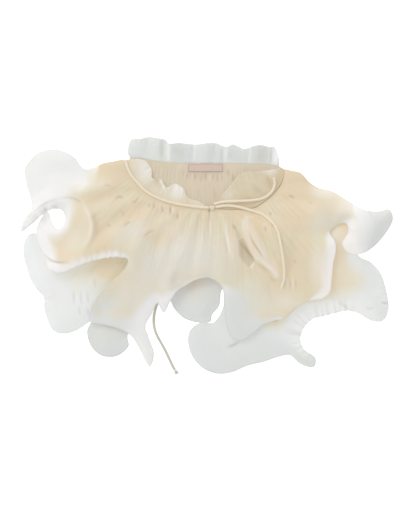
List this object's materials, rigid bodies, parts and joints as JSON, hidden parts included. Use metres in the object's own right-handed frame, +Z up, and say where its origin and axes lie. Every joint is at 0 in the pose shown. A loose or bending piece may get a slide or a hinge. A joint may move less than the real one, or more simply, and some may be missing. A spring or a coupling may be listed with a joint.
{
  "type": "ruffled collar",
  "caption": "Pull-on neck collar of pleated organza ruffles in two tiers, with a neck frill, a front keyhole slit and a drawcord, lying flat face up.",
  "frame": {"origin": "middle of the cloth's bounding box, on the plane that the collar lies on", "axes": "+X the side at the right of the picture, +Y from the front hems to the back of the neck, +Z up out of the plane it lies on"},
  "size_m": [0.4848, 0.3104, 0.0378],
  "materials": {
    "back_organza": "sheer crisp organza",
    "lower_left_organza": "sheer crisp organza",
    "lower_right_organza": "sheer crisp organza",
    "upper_organza": "sheer crisp organza",
    "frill_back_organza": "sheer crisp organza",
    "frill_left_organza": "sheer crisp organza",
    "frill_right_organza": "sheer crisp organza",
    "label_tape": "flat woven tape",
    "cord_neck_left_cotton": "matte woven cord",
    "cord_neck_right_cotton": "matte woven cord",
    "cord_tail_right_cotton": "matte woven cord",
    "cord_tail_left_cotton": "matte woven cord",
    "cord_knot_cotton": "matte woven cord",
    "cord_end_cotton": "matte woven cord"
  },
  "bodies": {
    "root": {"back": "back_organza", "front_lower_left": "lower_left_organza", "front_lower_right": "lower_right_organza", "front_upper": "upper_organza", "frill_back": "frill_back_organza", "frill_left": "frill_left_organza", "frill_right": "frill_right_organza", "label": "label_tape", "cord_neck_left": "cord_neck_left_cotton", "cord_neck_right": "cord_neck_right_cotton", "cord_tail_right": "cord_tail_right_cotton", "cord_tail_left": "cord_tail_left_cotton", "cord_knot": "cord_knot_cotton", "cord_end": "cord_end_cotton"}
  },
  "joints": []
}
